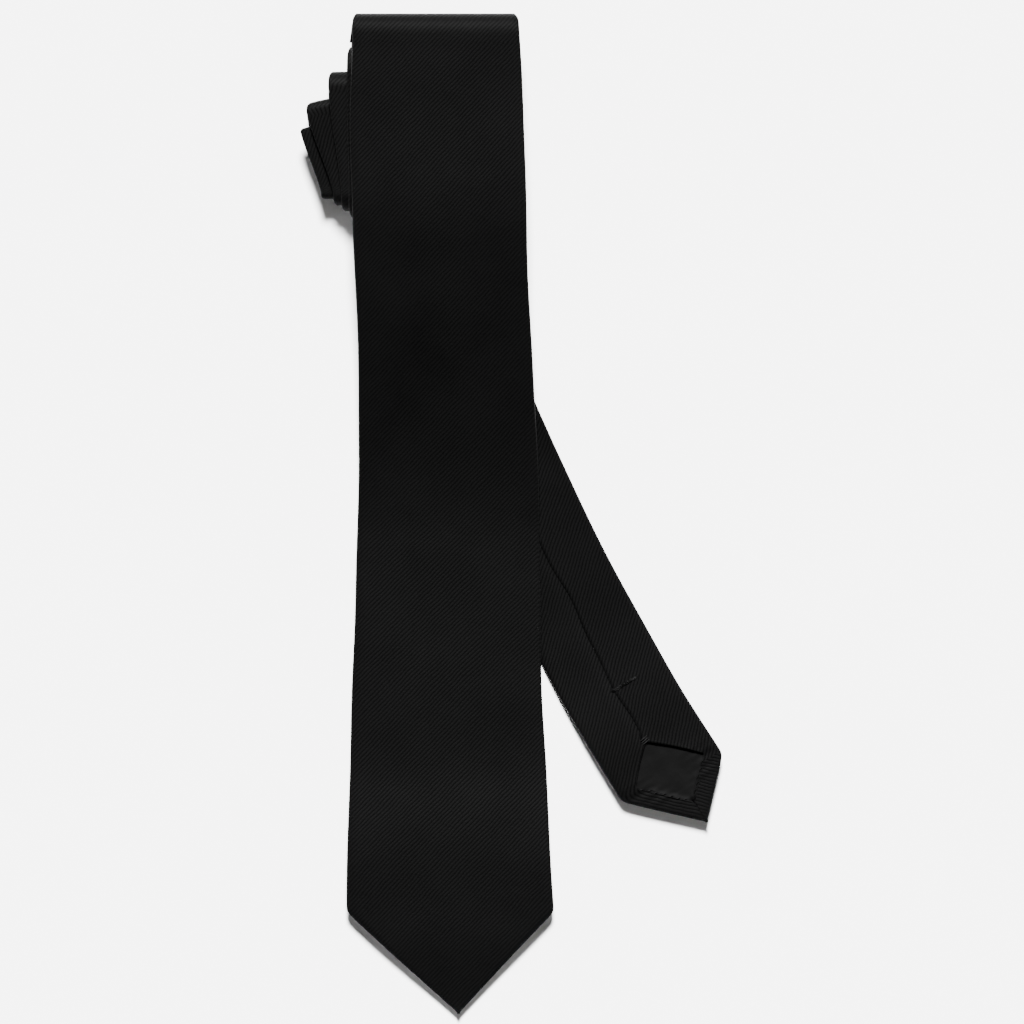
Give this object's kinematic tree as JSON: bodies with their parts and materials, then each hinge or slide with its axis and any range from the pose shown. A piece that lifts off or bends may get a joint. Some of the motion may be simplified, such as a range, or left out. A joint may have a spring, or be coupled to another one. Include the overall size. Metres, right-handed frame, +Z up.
{
  "type": "necktie",
  "caption": "Plain dark twill necktie folded in half at the neck and rolled flat, its pointed blade lying face up and its narrower tail lying back side up.",
  "frame": {"origin": "under the centre of the tie's bounding box, on the surface that it lies on", "axes": "+Y from the blade's point towards the roll, +Z up from the surface, +X to the side where the tail lies"},
  "size_m": [0.1543, 0.3653, 0.0217],
  "materials": {
    "tie_cloth": "satin twill",
    "tipping_satin": "smooth satin lining",
    "interlining_wool": "brushed wool blend",
    "sewing_thread": "matt thread",
    "tack_thread": "matt thread",
    "label_ribbon": "satin ribbon, blank"
  },
  "bodies": {
    "rolled_neck": {"blade_panel_in_roll": "tie_cloth", "neck_gusset": "tie_cloth", "tail_panel_in_roll": "tie_cloth", "blade_interlining_in_roll": "interlining_wool", "tail_interlining_in_roll": "interlining_wool", "blade_slip_stitch_in_roll": "sewing_thread", "tail_slip_stitch_in_roll": "sewing_thread", "blade_to_gusset_seam": "sewing_thread", "tail_to_gusset_seam": "sewing_thread"},
    "front_blade": {"blade_shell": "tie_cloth", "blade_interlining": "interlining_wool", "blade_tipping": "tipping_satin", "blade_slip_stitch": "sewing_thread", "blade_bar_tack": "sewing_thread", "blade_apex_tack": "tack_thread", "blade_tipping_stitches": "sewing_thread", "keeper_loop": "tie_cloth", "keeper_loop_stitches": "sewing_thread", "care_label": "label_ribbon"},
    "tail": {"tail_shell": "tie_cloth", "tail_interlining": "interlining_wool", "tail_slip_stitch": "sewing_thread"},
    "tail_end": {"tail_end_shell": "tie_cloth", "tail_end_interlining": "interlining_wool", "tail_end_tipping": "tipping_satin", "tail_end_slip_stitch": "sewing_thread", "tail_bar_tack": "sewing_thread", "tail_apex_tack": "tack_thread", "tail_tipping_stitches": "sewing_thread"}
  },
  "joints": [
    {"name": "blade_fold", "type": "hinge", "parent": "rolled_neck", "child": "front_blade", "pos_m": [-0.0278, 0.17194, 0.02167], "axis": [-1, 0, 0], "range_deg": [0, 150]},
    {"name": "tail_swing", "type": "hinge", "parent": "rolled_neck", "child": "tail", "pos_m": [-0.03834, 0.153, 0.01912], "axis": [0, 0, 1], "range_deg": [0, 8]},
    {"name": "tail_end_lift", "type": "hinge", "parent": "tail", "child": "tail_end", "pos_m": [0.03287, -0.04953, 0.0015], "axis": [-0.8648, -0.5021, 0], "range_deg": [0, 80]}
  ]
}
